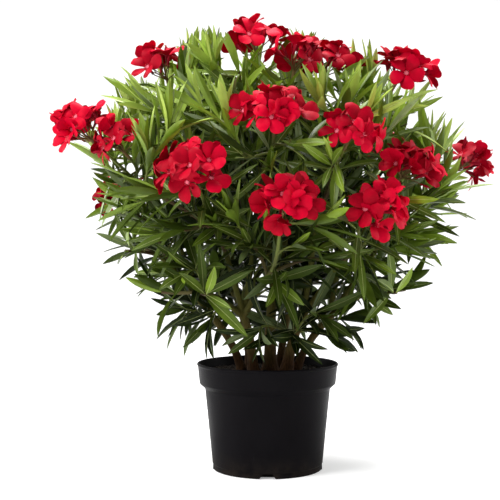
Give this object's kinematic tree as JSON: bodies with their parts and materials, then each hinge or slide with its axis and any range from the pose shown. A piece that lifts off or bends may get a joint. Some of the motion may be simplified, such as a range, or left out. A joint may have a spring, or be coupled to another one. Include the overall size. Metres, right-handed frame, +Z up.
{
  "type": "potted oleander",
  "caption": "Flowering evergreen shrub in a round nursery pot, with leaning stems, whorled lance-shaped leaves and trusses of red blossom.",
  "frame": {"origin": "middle of the flat underside of the pot, on the surface that it stands on", "axes": "+Z up, +X to the right of someone who faces the shrub, -Y towards them"},
  "size_m": [0.6925, 0.6106, 0.717],
  "materials": {
    "black_plastic": "satin injection-moulded black plastic",
    "potting_soil": "crumbly dark potting mix",
    "bark": "thin grey-brown bark",
    "green_bark": "smooth green-brown young bark",
    "leaf_green": "leathery green leaf",
    "blossom_red": "soft crimson petal"
  },
  "bodies": {
    "root": {"blossom_back_high": "blossom_red", "blossom_back_left": "blossom_red", "blossom_back_left_b": "blossom_red", "blossom_back_low": "blossom_red", "blossom_back_right": "blossom_red", "blossom_front_high": "blossom_red", "blossom_front_left_high": "blossom_red", "blossom_front_low": "blossom_red", "blossom_front_right_high": "blossom_red", "blossom_front_right_low": "blossom_red", "blossom_front_right_low_b": "blossom_red", "blossom_left_high": "blossom_red", "blossom_right_high": "blossom_red", "blossom_right_low": "blossom_red", "blossom_top": "blossom_red", "blossom_top_left": "blossom_red", "blossom_top_right": "blossom_red", "blossom_top_right_b": "blossom_red", "bough_back_high": "green_bark", "bough_back_left": "green_bark", "bough_back_right": "green_bark", "bough_front_high": "green_bark", "bough_front_left_high": "green_bark", "bough_front_right_high": "green_bark", "bough_front_right_low": "green_bark", "bough_left_high": "green_bark", "bough_right_high": "green_bark", "bough_right_low": "green_bark", "bough_top": "green_bark", "bough_top_left": "green_bark", "bough_top_right": "green_bark", "foliage_back_high": "leaf_green", "foliage_back_left": "leaf_green", "foliage_back_low": "leaf_green", "foliage_back_right": "leaf_green", "foliage_front_high": "leaf_green", "foliage_front_left_high": "leaf_green", "foliage_front_low": "leaf_green", "foliage_front_right_high": "leaf_green", "foliage_front_right_low": "leaf_green", "foliage_left_high": "leaf_green", "foliage_left_low": "leaf_green", "foliage_right_high": "leaf_green", "foliage_right_low": "leaf_green", "foliage_skirt_back": "leaf_green", "foliage_skirt_left": "leaf_green", "foliage_skirt_right": "leaf_green", "foliage_top": "leaf_green", "foliage_top_left": "leaf_green", "foliage_top_right": "leaf_green", "pot": "black_plastic", "soil": "potting_soil", "stem_back_left": "bark", "stem_back_right": "bark", "stem_centre": "bark", "stem_front_left": "bark", "stem_front_right": "bark", "stem_left": "bark", "stem_right": "bark"}
  },
  "joints": []
}
